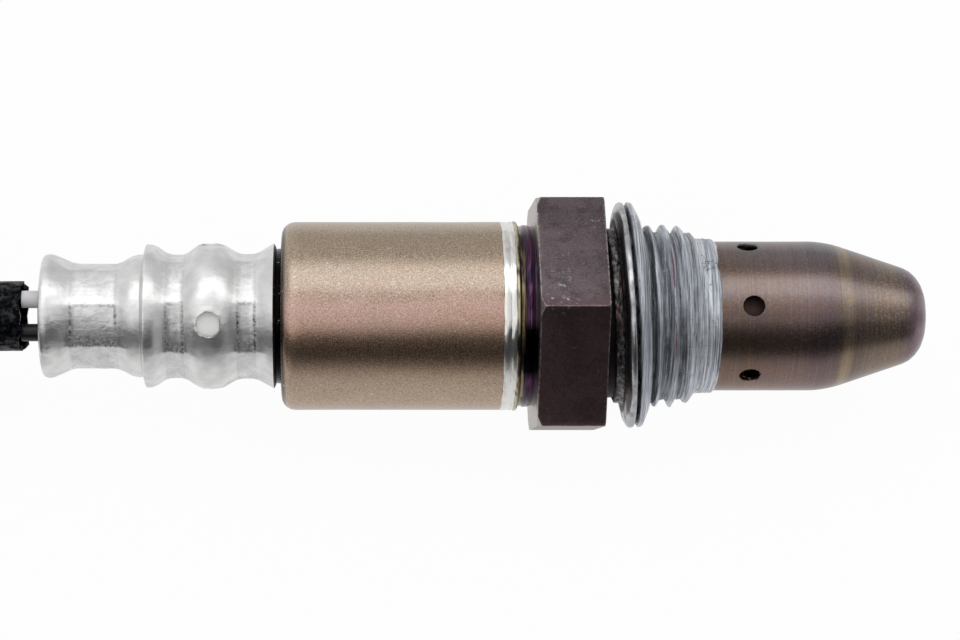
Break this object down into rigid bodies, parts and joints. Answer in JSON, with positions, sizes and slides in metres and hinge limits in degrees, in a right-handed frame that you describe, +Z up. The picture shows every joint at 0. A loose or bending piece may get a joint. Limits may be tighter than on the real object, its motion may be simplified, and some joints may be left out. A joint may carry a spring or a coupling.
{
  "type": "oxygen sensor",
  "caption": "Exhaust oxygen sensor on its hexagon, with a perforated tip tube, folded gasket, drawn shell, crimped vent cover and a sleeved lead coiled beside it with its plug.",
  "frame": {"origin": "under the middle of the sensor's length, on the surface that it lies on", "axes": "+X along the sensor's axis towards its perforated tip, +Z up from the hexagon flat that it lies on"},
  "size_m": [0.1758, 0.0892, 0.0223],
  "materials": {
    "hull_steel": "oxidised, satin",
    "gasket_steel": "satin, with assembly paste",
    "weld_steel": "bright bead",
    "shell_steel": "blasted, heat tinted",
    "tube_steel": "satin, heat tinted",
    "plain_steel": "as stamped",
    "cover_steel": "matt, as drawn",
    "zirconia": "sintered",
    "alumina": "sintered",
    "talc": "pressed powder",
    "contact_metal": "as stamped",
    "pin_metal": "tin plated",
    "ptfe": "porous",
    "grommet_rubber": "moulded",
    "sleeve_black": "coated sleeve, satin",
    "wire_black": "satin",
    "wire_grey": "satin",
    "wire_white": "satin",
    "tie_nylon": "moulded",
    "plug_plastic": "moulded",
    "lock_plastic": "moulded",
    "seal_rubber": "moulded"
  },
  "bodies": {
    "root": {"hex_body": "hull_steel", "gasket": "gasket_steel", "weld_ring": "weld_steel", "upper_shell": "shell_steel", "outer_protection_tube": "tube_steel", "inner_protection_tube": "tube_steel", "sensing_element": "zirconia", "front_insulator": "alumina", "rear_insulator": "alumina", "talc_seal": "talc", "packing_ring": "plain_steel", "terminal_insulator": "alumina", "spring_washer": "plain_steel", "retaining_ring": "plain_steel", "vent_cover": "cover_steel", "filter_sleeve": "ptfe", "grommet": "grommet_rubber", "lead_sleeve": "sleeve_black", "lead_coil": "sleeve_black", "cable_tie": "tie_nylon", "connector_housing": "plug_plastic", "wire_seal": "seal_rubber", "seal_cap": "lock_plastic", "terminal_lock": "lock_plastic", "contact_terminal_1": "contact_metal", "connector_pin_1": "pin_metal", "contact_terminal_2": "contact_metal", "connector_pin_2": "pin_metal", "contact_terminal_3": "contact_metal", "connector_pin_3": "pin_metal", "contact_terminal_4": "contact_metal", "connector_pin_4": "pin_metal", "lead_wire_1": "wire_grey", "plug_wire_1": "wire_grey", "lead_wire_2": "wire_black", "plug_wire_2": "wire_black", "lead_wire_3": "wire_black", "plug_wire_3": "wire_black", "lead_wire_4": "wire_white", "plug_wire_4": "wire_white"}
  },
  "joints": []
}
